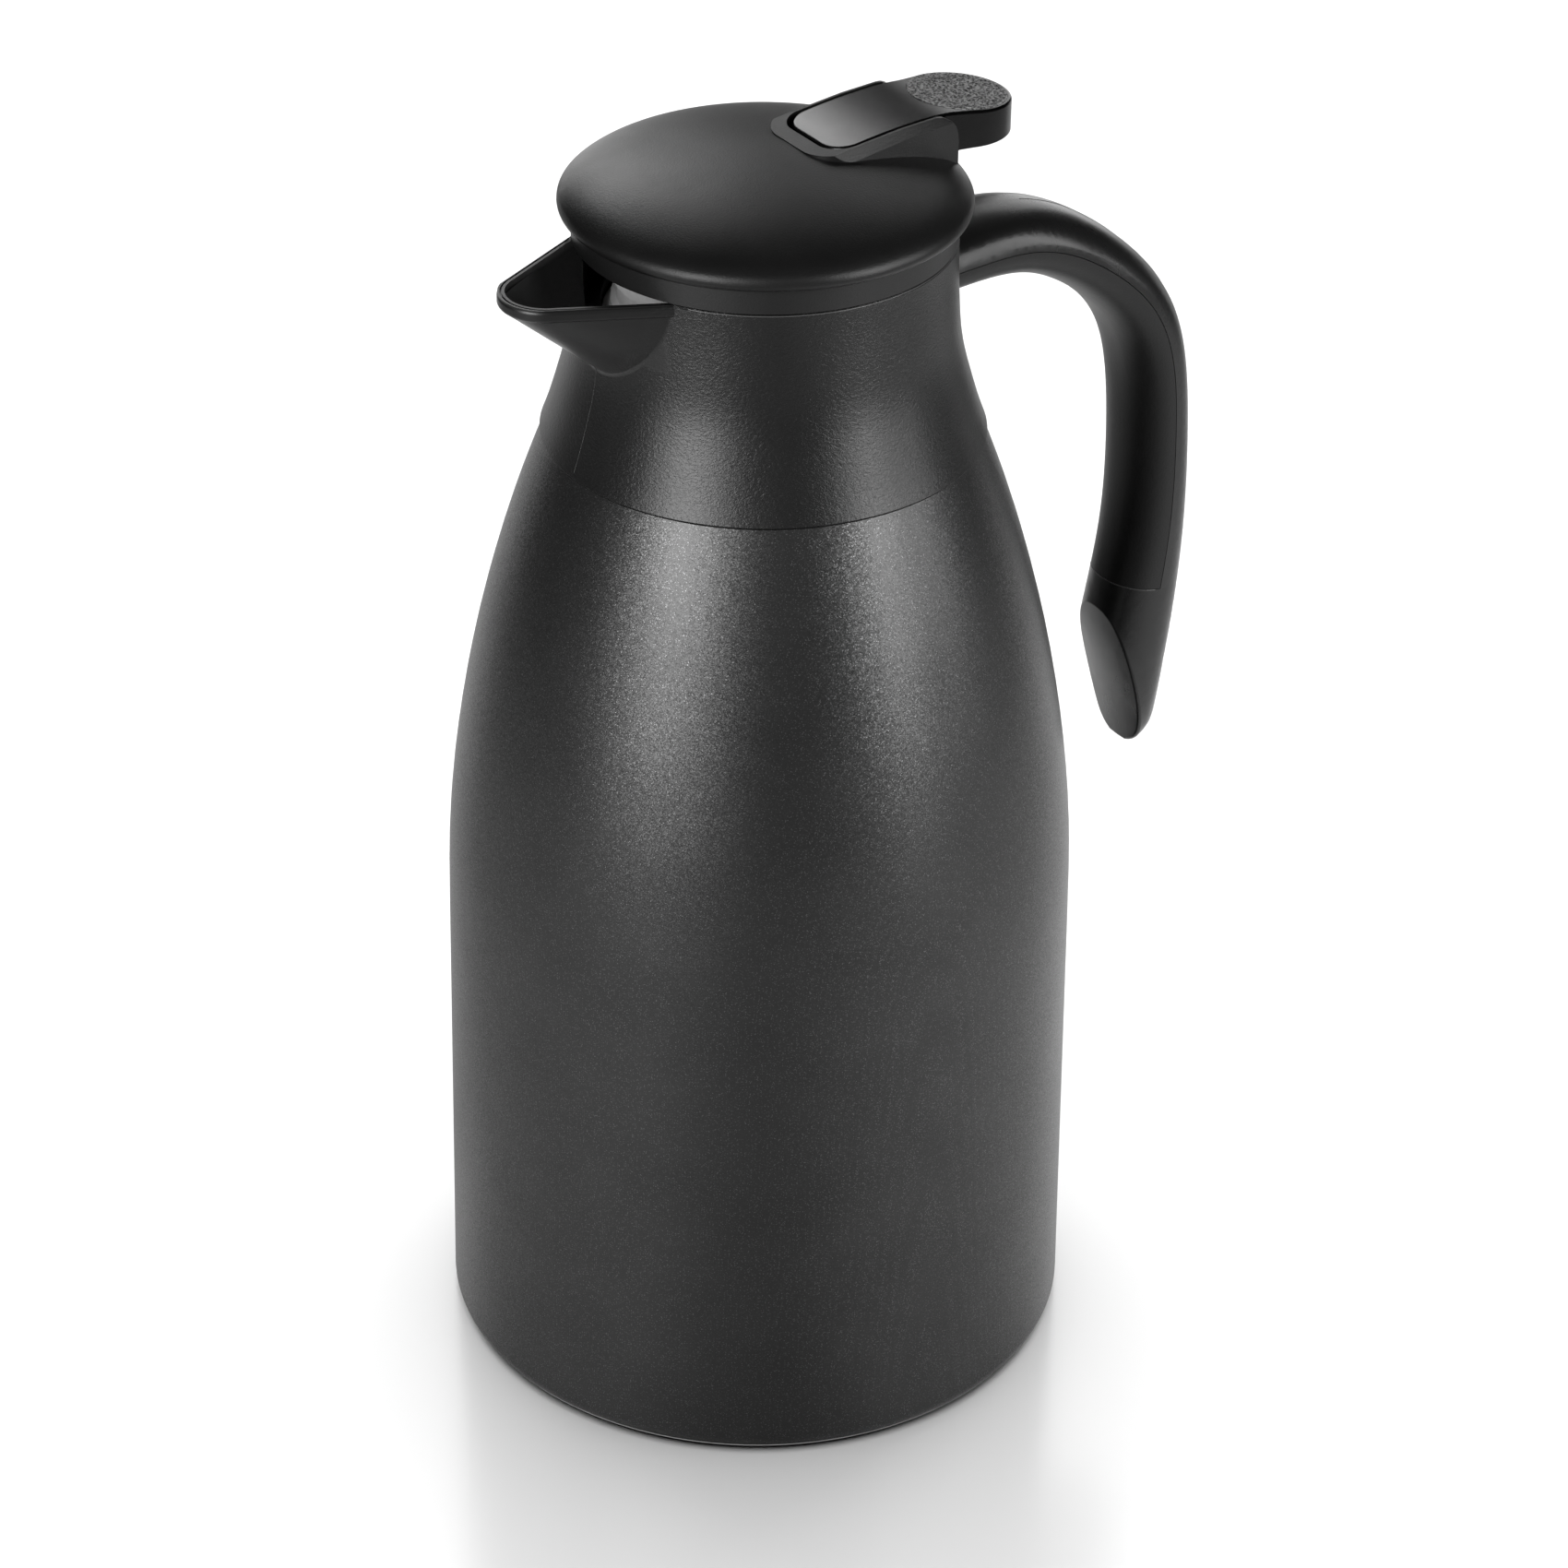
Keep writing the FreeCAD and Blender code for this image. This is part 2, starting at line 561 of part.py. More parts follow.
# ------------------------------------------------------------------- stopper
stop = rev([
    (FLANGE_R, 262.15), (FLANGE_R, 253.1), (FLANGE_R - 0.4, 252.7),
    (30.3, 252.4), (30.3, 247.3),
    (STOP_R, 246.4), (STOP_R, 234.9), (28.4, 233.8), (28.4, 230.7),
    (27.0, 230.7), (27.0, 226.3), (28.4, 226.3), (28.4, 224.6),
    (27.6, 223.8), (9.5, 223.8), (9.5, 227.2), (11.2, 227.2),
    (11.8, 226.4), (24.8, 226.4), (24.8, 234.4), (28.7, 238.0),
    (28.7, 262.15)])
for ang in (0, 45, 90, 225, 270, 315):
    w = box(26.0, 36.0, -7.0, 7.0, 247.5, 252.2)
    w.rotate(V(0, 0, 0), V(0, 0, 1), ang)
    stop = stop.cut(w)
for i in range(THREAD_STARTS):
    stop = stop.fuse(ridge(STOP_R, STOP_RIDGE_R, THREAD_Z[0] + 0.3,
                           THREAD_Z[1], 360.0 / THREAD_STARTS * i - 54.0,
                           0.5))
put("stopper_body", stop)
put("stopper_seal", rev([
    (27.06, 226.45), (29.4, 226.45), (30.7, 227.3), (30.1, 228.5),
    (30.7, 229.7), (29.4, 230.55), (27.06, 230.55)]))

# --------------------------------------------------------------------- valve
stem = rev([(0, 224.4), (1.6, 224.4), (2.0, 224.8), (2.0, 231.7),
            (3.0, 231.7), (3.0, 270.2), (2.6, 270.6), (0, 270.6)])
stem = stem.cut(cyl(LINK_R + 0.01, 10.0, (0, -5.0, LINK_Z), (0, 1, 0)))
put("valve_stem", stem)
put("valve_disc", rev([(2.03, 229.2), (13.4, 229.2), (13.8, 229.6),
                       (13.8, 230.6), (12.6, 231.6), (2.03, 231.6)]))
put("valve_seal", rev([(2.4, 227.23), (13.0, 227.23), (13.3, 227.6),
                       (13.3, 229.15), (2.4, 229.15)]))
hexa = Part.makePolygon([V(4.2 * math.cos(math.radians(60 * k)),
                           4.2 * math.sin(math.radians(60 * k)), 225.0)
                         for k in range(7)])
nut = Part.Face(hexa).extrude(V(0, 0, 2.2)).cut(cyl(2.03, 6.0,
                                                    (0, 0, 224.0)))
put("stem_nut", nut)
put("spring_washer", rev([(3.15, 258.9), (7.4, 258.9), (7.4, 259.55),
                          (3.15, 259.55)]))
sp_r, sp_w = 5.2, 0.6
hx = Part.makeHelix(3.2, 25.6, sp_r)
circ = Part.Wire(Part.makeCircle(sp_w, V(sp_r, 0, 0), V(0, 1, 0)))
spring = Part.Wire(hx.Edges).makePipeShell([circ], True, True)
spring.translate(V(0, 0, 231.7 + sp_w))
put("stem_spring", spring)

# --------------------------------------------------------------------- lever
def lever_top(x):
    """Chords of the top line: up to a crest, then along the thumb pad."""
    if x < CREST[0]:
        return NOSE[1] + (CREST[1] - NOSE[1]) * (x - NOSE[0]) / (
            CREST[0] - NOSE[0])
    return CREST[1] - math.tan(PAD_TILT) * (x - CREST[0])


XE = THUMB_X + THUMB_R + 1
CB = CREST[0] + 3.5
side = prism_y([
    ("s", [NOSE, (17.0, 279.86), (24.0, 280.68), (30.0, 281.13),
           (34.5, 281.3), (38.0, 281.16), (CB, lever_top(CB))]),
    (XE, lever_top(XE)), (XE, 272.6),
    (40.4, 272.6), (36.6, 270.5), (14.0, 270.3), (NOSE[0], 270.3)], -14, 14)
nr, nx0 = 5.6, NOSE[0]


def flank(sgn):
    """Smooth widening from the plate to the round thumb end."""
    c = Part.BSplineCurve()
    c.interpolate([V(37.4, sgn * LEVER_Y, 0), V(42.4, sgn * 10.62, 0),
                   V(THUMB_X, sgn * THUMB_R, 0)],
                  Tangents=[V(1, 0, 0), V(1, sgn * 0.17, 0), V(1, 0, 0)],
                  TangentFlags=[True, True, True])
    return c.toShape()


top_plan = [
    flank(-1),
    Part.makeLine(V(37.4, -LEVER_Y, 0), V(nx0 + nr, -LEVER_Y, 0)),
    Part.Arc(V(nx0 + nr, -LEVER_Y, 0),
             V(nx0 + nr - nr * c45, -LEVER_Y + nr - nr * c45, 0),
             V(nx0, -LEVER_Y + nr, 0)).toShape(),
    Part.makeLine(V(nx0, -LEVER_Y + nr, 0), V(nx0, LEVER_Y - nr, 0)),
    Part.Arc(V(nx0, LEVER_Y - nr, 0),
             V(nx0 + nr - nr * c45, LEVER_Y - nr + nr * c45, 0),
             V(nx0 + nr, LEVER_Y, 0)).toShape(),
    Part.makeLine(V(nx0 + nr, LEVER_Y, 0), V(37.4, LEVER_Y, 0)),
    flank(1),
    Part.Arc(V(THUMB_X, THUMB_R, 0), V(THUMB_X + THUMB_R, 0, 0),
             V(THUMB_X, -THUMB_R, 0)).toShape()]
lever = side.common(plan(top_plan, 260.0, 290.0))
lever = try_fillet(lever, 0.6, lambda e: e.BoundBox.ZMin > 278.5
                   and not (e.BoundBox.XLength < 0.1
                            and e.BoundBox.XMin > 30.0))
# hollow under the thumb end
lever = lever.cut(cyl(THUMB_R - 2.2, 5.4, (THUMB_X, 0, 272.0)))
# fork to the stem
tong = box(-4.0, 14.0, -5.7, 5.7, 266.7, 270.4)
tong = tong.cut(box(-6.0, 5.2, -3.45, 3.45, 260.0, 275.0))
slot = prism_y([(-1.75, LINK_Z - 1.5), (2.3, LINK_Z - 1.5),
                (2.3, LINK_Z + 1.5), (-1.75, LINK_Z + 1.5)], -8, 8)
tong = tong.cut(slot)
lever = lever.fuse(tong)
lever = lever.cut(cyl(PIN_R + 0.07, 30.0, (PIVOT[0], -15.0, PIVOT[1]),
                      (0, 1, 0)))
pn = (math.sin(PAD_TILT), 0, math.cos(PAD_TILT))
pz = lever_top(THUMB_X)
lever = lever.cut(cyl(PAD_R + 0.08, 3.0, (THUMB_X - 0.8 * pn[0], 0,
                                         pz - 0.8 * pn[2]), pn))
put("lever", lever)
pad = cyl(PAD_R, 0.85, (THUMB_X - 0.75 * pn[0], 0, pz - 0.75 * pn[2]), pn)
put("thumb_pad", pad)
put("lever_pin", cyl(PIN_R, 23.2, (PIVOT[0], -11.6, PIVOT[1]), (0, 1, 0)))
put("link_pin", cyl(LINK_R, 11.6, (0, -5.8, LINK_Z), (0, 1, 0)))

# -------------------------------------------------------------------- export
for name, shape in NODES.items():
    if len(shape.Solids) == 1 and shape.ShapeType != "Solid":
        shape = shape.Solids[0]
    print(name, "solids", len(shape.Solids), "valid", shape.isValid(),
          "vol %.1f" % shape.Volume)
    shape.exportStep("parts/%s.step" % name)
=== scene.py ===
import bpy
import bmesh
import json
import math
from mathutils import Matrix, Vector, noise

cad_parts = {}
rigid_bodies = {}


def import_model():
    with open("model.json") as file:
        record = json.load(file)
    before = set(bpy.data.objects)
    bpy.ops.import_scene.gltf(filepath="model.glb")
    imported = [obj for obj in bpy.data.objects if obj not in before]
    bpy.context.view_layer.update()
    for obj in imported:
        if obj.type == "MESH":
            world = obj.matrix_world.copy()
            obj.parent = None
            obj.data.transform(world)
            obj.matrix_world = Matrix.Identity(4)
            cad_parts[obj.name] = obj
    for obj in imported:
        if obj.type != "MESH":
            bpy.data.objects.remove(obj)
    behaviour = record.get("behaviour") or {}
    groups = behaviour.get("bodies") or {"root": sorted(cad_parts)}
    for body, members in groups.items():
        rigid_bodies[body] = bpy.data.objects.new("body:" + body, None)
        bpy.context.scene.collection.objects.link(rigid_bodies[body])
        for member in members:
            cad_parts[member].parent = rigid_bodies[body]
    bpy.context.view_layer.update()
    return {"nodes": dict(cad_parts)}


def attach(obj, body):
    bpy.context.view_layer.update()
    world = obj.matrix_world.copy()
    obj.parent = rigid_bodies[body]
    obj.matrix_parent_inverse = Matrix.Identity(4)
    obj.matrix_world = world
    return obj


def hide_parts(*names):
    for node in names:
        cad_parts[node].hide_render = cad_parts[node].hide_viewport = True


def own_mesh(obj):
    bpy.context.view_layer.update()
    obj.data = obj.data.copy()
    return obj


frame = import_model()
nodes = frame["nodes"]
scene = bpy.context.scene
scene.view_settings.view_transform = "Standard"
scene.view_settings.look = "None"
scene.view_settings.exposure = 0.0
scene.view_settings.gamma = 1.0

MM = 0.001


# ------------------------------------------------------------------- camera
cam_data = bpy.data.cameras.new("camera")
cam = bpy.data.objects.new("camera", cam_data)
scene.collection.objects.link(cam)
CAM_POS = Vector((-0.488815, -0.736771, 0.670715))
C_FWD = Vector((0.475646, 0.707836, -0.522235))
C_RIGHT = Vector((0.833649, -0.552188, 0.010845))
C_UP = Vector((0.280695, 0.440519, 0.852733))
m = Matrix.Identity(4)
for i in range(3):
    m[i][0], m[i][1], m[i][2], m[i][3] = C_RIGHT[i], C_UP[i], -C_FWD[i], CAM_POS[i]
cam.matrix_world = m
cam_data.sensor_width = 36.0
cam_data.lens = 109.794
cam_data.clip_start, cam_data.clip_end = 0.05, 50.0
scene.camera = cam

# directions on the floor, seen from the photograph's side
TO_CAM = Vector((-0.5528, -0.8333, 0.0))
TO_RIGHT = Vector((0.8333, -0.5528, 0.0))


# ---------------------------------------------------------------- node helpers
class Mat:
    """A material's node tree with a few short ways to add nodes."""

    def __init__(self, name):
        self.m = bpy.data.materials.new(name)
        self.m.use_nodes = True
        self.t = self.m.node_tree
        self.t.nodes.clear()
        self.out = self.t.nodes.new("ShaderNodeOutputMaterial")
        self.p = self.t.nodes.new("ShaderNodeBsdfPrincipled")
        self.t.links.new(self.p.outputs[0], self.out.inputs[0])
        self._co = None

    def link(self, a, b):
        self.t.links.new(a, b)

    def co(self):
        if self._co is None:
            self._co = self.t.nodes.new("ShaderNodeTexCoord").outputs["Object"]
        return self._co

    def stretched(self, sx, sy, sz):
        n = self.t.nodes.new("ShaderNodeMapping")
        n.inputs["Scale"].default_value = (sx, sy, sz)
        self.link(self.co(), n.inputs["Vector"])
        return n.outputs[0]

    def noise(self, scale, detail=2.0, rough=0.5, vec=None, distort=0.0):
        n = self.t.nodes.new("ShaderNodeTexNoise")
        n.inputs["Scale"].default_value = scale
        n.inputs["Detail"].default_value = detail
        n.inputs["Roughness"].default_value = rough
        n.inputs["Distortion"].default_value = distort
        self.link(vec or self.co(), n.inputs["Vector"])
        return n

    def voronoi(self, scale, feature="F1", vec=None, rand=1.0):
        n = self.t.nodes.new("ShaderNodeTexVoronoi")
        n.feature = feature
        n.inputs["Scale"].default_value = scale
        n.inputs["Randomness"].default_value = rand
        self.link(vec or self.co(), n.inputs["Vector"])
        return n

    def ramp(self, fac, stops):
        n = self.t.nodes.new("ShaderNodeValToRGB")
        e = n.color_ramp.elements
        e[0].position, e[1].position = stops[0][0], stops[-1][0]
        for p, _ in stops[1:-1]:
            e.new(p)
        for k, (p, c) in enumerate(stops):
            e[k].position = p
            e[k].color = (c, c, c, 1) if not isinstance(c, tuple) else c + (1,)
        self.link(fac, n.inputs["Fac"])
        return n.outputs[0]

    def range(self, v, a, b, c, d, smooth=False):
        n = self.t.nodes.new("ShaderNodeMapRange")
        n.interpolation_type = "SMOOTHSTEP" if smooth else "LINEAR"
        for k, x in zip(("From Min", "From Max", "To Min", "To Max"), (a, b, c, d)):
            n.inputs[k].default_value = x
        self.link(v, n.inputs["Value"])
        return n.outputs[0]

    def math(self, op, a, b=None, c=None):
        n = self.t.nodes.new("ShaderNodeMath")
        n.operation = op
        for k, x in enumerate((a, b, c)):
            if x is None:
                continue
            if isinstance(x, (int, float)):
                n.inputs[k].default_value = x
            else:
                self.link(x, n.inputs[k])
        return n.outputs[0]

    def mix(self, fac, a, b):
        n = self.t.nodes.new("ShaderNodeMix")
        n.data_type = "RGBA"
        for key, x in ((0, fac), (6, a), (7, b)):
            if isinstance(x, (int, float)):
                n.inputs[key].default_value = x
            elif isinstance(x, tuple):
                n.inputs[key].default_value = x + (1,)
            else:
                self.link(x, n.inputs[key])
        return n.outputs[2]

    def xyz(self):
        n = self.t.nodes.new("ShaderNodeSeparateXYZ")
        self.link(self.co(), n.inputs[0])
        return n.outputs

    def bump(self, height, dist, strength=1.0, normal=None):
        n = self.t.nodes.new("ShaderNodeBump")
        n.inputs["Distance"].default_value = dist
        if isinstance(strength, (int, float)):
            n.inputs["Strength"].default_value = strength
        else:
            self.link(strength, n.inputs["Strength"])
        self.link(height, n.inputs["Height"])
        if normal is not None:
            self.link(normal, n.inputs["Normal"])
        return n.outputs[0]

    def set(self, **kw):
        names = dict(color="Base Color", rough="Roughness", metal="Metallic",
                     normal="Normal", spec="Specular IOR Level", ior="IOR",
                     coat="Coat Weight", coat_rough="Coat Roughness",
                     trans="Transmission Weight", sss="Subsurface Weight",
                     sheen="Sheen Weight", sheen_rough="Sheen Roughness")
        for k, x in kw.items():
            s = self.p.inputs[names[k]]
            if isinstance(x, (int, float)):
                s.default_value = x
            elif isinstance(x, tuple):
                s.default_value = x + (1,)
            else:
                self.link(x, s)
        return self


def grey(v, warm=0.0):
    return (v * (1 + warm), v, v * (1 - warm))


# ------------------------------------------------------------------ materials
def body_paint():
    """Dark metallic paint: a satin coat over fine flakes."""
    a = Mat("body_paint")
    flakes = a.voronoi(5200.0)
    sep = a.t.nodes.new("ShaderNodeSeparateColor")
    a.link(flakes.outputs["Color"], sep.inputs[0])
    bright = a.range(sep.outputs[0], 0.86, 1.0, 0.0, 1.0)
    size = a.range(flakes.outputs["Distance"], 0.25, 0.45, 1.0, 0.0)
    spark = a.math("MULTIPLY", bright, size)
    cloud = a.noise(60.0, 3.0)
    base = a.ramp(cloud.outputs[0], [(0.3, 0.056), (0.7, 0.064)])
    dots = a.voronoi(2300.0)
    ds = a.t.nodes.new("ShaderNodeSeparateColor")
    a.link(dots.outputs["Color"], ds.inputs[0])
    dot = a.math("MULTIPLY", a.range(ds.outputs[1], 0.35, 0.95, 0.0, 1.0),
                 a.range(dots.outputs["Distance"], 0.20, 0.34, 1.0, 0.0))
    fine = a.mix(spark, base, (0.24, 0.24, 0.243))
    a.set(color=a.mix(dot, fine, (0.155, 0.155, 0.157)))
    # each flake lies at its own small angle
    off = a.t.nodes.new("ShaderNodeVectorMath")
    off.operation = "SUBTRACT"
    a.link(flakes.outputs["Color"], off.inputs[0])
    off.inputs[1].default_value = (0.5, 0.5, 0.5)
    sc = a.t.nodes.new("ShaderNodeVectorMath")
    sc.operation = "SCALE"
    a.link(off.outputs[0], sc.inputs[0])
    sc.inputs["Scale"].default_value = 0.17
    geo = a.t.nodes.new("ShaderNodeNewGeometry")
    add = a.t.nodes.new("ShaderNodeVectorMath")
    add.operation = "ADD"
    a.link(geo.outputs["Normal"], add.inputs[0])
    a.link(sc.outputs[0], add.inputs[1])
    nrm = a.t.nodes.new("ShaderNodeVectorMath")
    nrm.operation = "NORMALIZE"
    a.link(add.outputs[0], nrm.inputs[0])
    peel = a.noise(900.0, 2.0)
    a.set(normal=a.bump(peel.outputs[0], 0.00004, 0.25, nrm.outputs[0]))
    wear = a.noise(18.0, 4.0)
    a.set(rough=a.range(wear.outputs[0], 0.3, 0.7, 0.34, 0.38), metal=0.9)
    return a.m


def plastic(name, base, rough, fine, fine_h, grain=0.0, grain_h=0.0, tint=0.0,
            spec=0.5, spread=0.12):
    """Moulded plastic: a fine mould texture, an optional larger grain, and a
    slow change of gloss and shade."""
    a = Mat(name)
    slow = a.noise(35.0, 3.0, 0.55)
    a.set(color=a.ramp(slow.outputs[0], [(0.3, grey(base * (1 - spread), tint)),
                                         (0.7, grey(base * (1 + spread), tint))]))
    smear = a.noise(55.0, 4.0, 0.6, a.stretched(1.0, 1.0, 0.35))
    a.set(rough=a.range(smear.outputs[0], 0.3, 0.7, rough - 0.035, rough + 0.035))
    f = a.noise(fine, 2.0, 0.6)
    n = a.bump(f.outputs[0], fine_h, 1.0)
    if grain:
        g = a.noise(grain, 3.0, 0.62, None, 0.6)
        n = a.bump(g.outputs[0], grain_h, 1.0, n)
    a.set(normal=n, spec=spec)
    return a.m


def collar_plastic():
    """Grained black plastic; the spout is smoother, and its inside is painted near-black as shade
    and made rougher.
    """
    a = Mat("collar_plastic")
    x, y, z = a.xyz()
    r2 = a.math("SQRT", a.math("ADD", a.math("MULTIPLY", x, x),
                               a.math("MULTIPLY", y, y)))
    spout = a.math("MULTIPLY", a.range(r2, 0.0418, 0.0432, 0.0, 1.0, True),
                   a.range(z, 0.2350, 0.2380, 0.0, 1.0, True))
    # faces that look at the middle of the spout are its inside
    geo = a.t.nodes.new("ShaderNodeNewGeometry")
    to_mid = a.t.nodes.new("ShaderNodeVectorMath")
    to_mid.operation = "SUBTRACT"
    to_mid.inputs[0].default_value = (-0.0450, 0.0, 0.2620)
    a.link(a.co(), to_mid.inputs[1])
    facing = a.t.nodes.new("ShaderNodeVectorMath")
    facing.operation = "DOT_PRODUCT"
    a.link(geo.outputs["Normal"], facing.inputs[0])
    a.link(to_mid.outputs[0], facing.inputs[1])
    inner = a.range(facing.outputs["Value"], 0.0004, 0.0012, 0.0, 1.0)
    level = a.math("MULTIPLY", a.range(z, 0.2588, 0.2598, 1.0, 0.0),
                   a.range(z, 0.2455, 0.2461, 0.0, 1.0))
    # painted shade: faces inside the spout, between its lip and its keel, are masked here to be
    # coloured near-black
    painted_shade_inside = a.math("MULTIPLY", a.range(x, -0.031, -0.033, 0.0, 1.0),
                  a.math("MULTIPLY", inner, level))
    slow = a.noise(35.0, 3.0, 0.55)
    skin = a.ramp(slow.outputs[0], [(0.3, 0.0060), (0.7, 0.0078)])
    # painted shade inside the spout: near-black colour (0.002) where the inside mask is 1
    a.set(color=a.mix(painted_shade_inside, skin, (0.002, 0.002, 0.002)))
    smear = a.noise(55.0, 4.0, 0.6, a.stretched(1.0, 1.0, 0.35))
    r = a.range(smear.outputs[0], 0.3, 0.7, 0.300, 0.355)
    a.set(rough=a.math("ADD", r, a.math("MULTIPLY", painted_shade_inside, 0.3)))
    wrinkle = a.noise(1250.0, 3.0, 0.6, a.stretched(1.0, 1.0, 1.5), 0.8)
    pores = a.noise(3200.0, 2.0, 0.6)
    h = a.math("ADD", wrinkle.outputs[0], a.math("MULTIPLY", pores.outputs[0], 0.25))
    keep = a.range(spout, 0.0, 1.0, 0.55, 0.12)
    a.set(normal=a.bump(h, 0.00016, keep))
    return a.m


def steel(name, base, rough, brushed=(1.0, 1.0, 1.0), scale=900.0):
    a = Mat(name)
    b = a.noise(scale, 3.0, 0.6, a.stretched(*brushed))
    a.set(color=a.ramp(b.outputs[0], [(0.3, grey(base * 0.9, 0.01)),
                                      (0.7, grey(base * 1.08, 0.01))]))
    a.set(rough=a.range(b.outputs[0], 0.3, 0.7, rough - 0.06, rough + 0.08),
          metal=1.0, normal=a.bump(b.outputs[0], 0.00003, 0.35))
    return a.m


def pad_grain_painted_light():
    """Coarse pebbled grain, with a painted highlight on its ridges and painted shade in its pits."""
    a = Mat("pad_plastic")
    v = a.voronoi(1750.0, "SMOOTH_F1")
    w = a.noise(1500.0, 2.0, 0.5, None, 0.8)
    h = a.math("ADD", v.outputs["Distance"], a.math("MULTIPLY", w.outputs[0], 0.35))
    # painted light: the colour follows the grain's height, near-black in the pits (painted shade)
    # and light grey on the ridges (painted highlight)
    a.set(color=a.ramp(h, [(0.30, 0.004), (0.50, 0.040), (0.74, 0.300)]),
          rough=0.36, normal=a.bump(h, 0.00060, 1.0))
    return a.m


def frosted():
    a = Mat("stopper_plastic")
    n = a.noise(400.0, 3.0)
    a.set(color=a.ramp(n.outputs[0], [(0.3, 0.50), (0.7, 0.58)]), rough=0.42,
          sss=0.15, normal=a.bump(n.outputs[0], 0.00005, 0.3))
    a.p.inputs["Subsurface Radius"].default_value = (0.004, 0.004, 0.004)
    return a.m


def rubber(name, base, rough=0.7):
    a = Mat(name)
    n = a.noise(1500.0, 3.0, 0.6)
    s = a.noise(60.0, 3.0)
    a.set(color=a.ramp(s.outputs[0], [(0.3, base * 0.88), (0.7, base * 1.1)]),
          rough=a.range(n.outputs[0], 0.3, 0.7, rough - 0.06, rough + 0.06),
          normal=a.bump(n.outputs[0], 0.00006, 0.6))
    return a.m


MATS = {
    "outer_shell": body_paint(),
    "inner_flask": steel("liner_steel", 0.60, 0.24, (1.0, 1.0, 0.05), 700.0),
    "foil_wrap": steel("foil", 0.80, 0.15, (1.0, 1.0, 1.0), 150.0),
    "base_plate": steel("base_steel", 0.55, 0.30, (1.0, 0.06, 1.0)),
    "getter": steel("getter_metal", 0.42, 0.55, (1.0, 1.0, 1.0), 2500.0),
    "vacuum_seal_plug": plastic("seal_glass", 0.30, 0.18, 900.0, 0.00002),
    "base_pad": rubber("base_rubber", 0.022),
    "collar": collar_plastic(),
    "neck_gasket": rubber("silicone", 0.60, 0.55),
    "retaining_ring": plastic("ring_plastic", 0.08, 0.5, 1500.0, 0.00004),
    "handle_shell": plastic("handle_plastic", 0.008, 0.29, 2600.0, 0.00002),
    "handle_cover": plastic("handle_cover_plastic", 0.006, 0.44, 2200.0,
                            0.00004, spec=0.36),
    "handle_screws": steel("screw_steel", 0.55, 0.32),
    "lid_cap": plastic("lid_plastic", 0.004, 0.42, 2400.0, 0.00004,
                       spec=0.38),
    "lid_base": plastic("lid_base_plastic", 0.005, 0.40, 2400.0, 0.00003),
    "stopper_body": frosted(),
    "valve_stem": plastic("valve_plastic", 0.50, 0.42, 1200.0, 0.00003),
    "stem_spring": steel("spring_steel", 0.60, 0.22, (0.2, 0.2, 1.0), 1500.0),
    "lever": plastic("lever_plastic", 0.004, 0.24, 2600.0, 0.000006),
    "thumb_pad": pad_grain_painted_light(),
    "lever_pin": steel("pin_steel", 0.60, 0.20, (1.0, 0.05, 1.0), 1500.0),
}
SAME = {"lid_screws": "handle_screws", "stem_nut": "handle_screws",
        "spring_washer": "handle_screws", "stopper_seal": "neck_gasket",
        "valve_seal": "neck_gasket", "valve_disc": "valve_stem",
        "link_pin": "lever_pin"}
for n, o in nodes.items():
    mt = MATS[SAME.get(n, n)]
    o.data.materials.clear()
    o.data.materials.append(mt)


# -------------------------------------------------------------- small details
from mathutils.bvhtree import BVHTree


def tree(node):
    me = nodes[node].data
    return BVHTree.FromPolygons([v.co[:] for v in me.vertices],
                                [p.vertices[:] for p in me.polygons])


def line_piece(name, pts, radius, body, material):
    """A thin line along surface points: a moulded line, or a painted highlight where it takes a
    lighter material.
    """
    cu = bpy.data.curves.new(name, "CURVE")
    cu.dimensions = "3D"
    cu.bevel_depth = radius
    cu.bevel_resolution = 2
    sp = cu.splines.new("POLY")
    sp.points.add(len(pts) - 1)
    for q, v in zip(sp.points, pts):
        q.co = (v[0], v[1], v[2], 1.0)
    tmp = bpy.data.objects.new(name + "_path", cu)
    scene.collection.objects.link(tmp)
    bpy.context.view_layer.update()
    me = bpy.data.meshes.new_from_object(tmp.evaluated_get(
        bpy.context.evaluated_depsgraph_get()))
    bpy.data.objects.remove(tmp)
    me.name = name
    o = bpy.data.objects.new(name, me)
    scene.collection.objects.link(o)
    me.materials.clear()
    me.materials.append(material)
    for f in me.polygons:
        f.use_smooth = True
    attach(o, body)
    return o


# parting line along the crest of the handle
SPINE = [(61.4, 245.05), (69.9, 242.1), (76.8, 238.2), (85.2, 231.8),
         (91.75, 224.8), (97.0, 215.5), (99.8, 205.0), (101.2, 192.0),
         (101.7, 177.0), (101.35, 165.0), (100.4, 155.4), (98.55, 143.0),
         (96.85, 132.0), (96.2, 125.0), (96.2, 119.5)]
bt = tree("handle_shell")
crest = []
for i in range(len(SPINE) - 1):
    for k in range(8):
        t = k / 8.0
        x = SPINE[i][0] + (SPINE[i + 1][0] - SPINE[i][0]) * t
        z = SPINE[i][1] + (SPINE[i + 1][1] - SPINE[i][1]) * t
        lo, hi = max(i - 1, 0), min(i + 2, len(SPINE) - 1)
        d0 = Vector((SPINE[i + 1][0] - SPINE[lo][0], 0, SPINE[i + 1][1] - SPINE[lo][1])).normalized()
        d1 = Vector((SPINE[hi][0] - SPINE[i][0], 0, SPINE[hi][1] - SPINE[i][1])).normalized()
        d = (d0 * (1 - t) + d1 * t).normalized()
        nrm = Vector((-d.z, 0, d.x))
        o0 = Vector((x * MM, 0, z * MM)) + nrm * 0.03
        hit = bt.ray_cast(o0, -nrm, 0.05)
        if hit[0] is not None:
            crest.append(hit[0] - nrm * 0.00006)
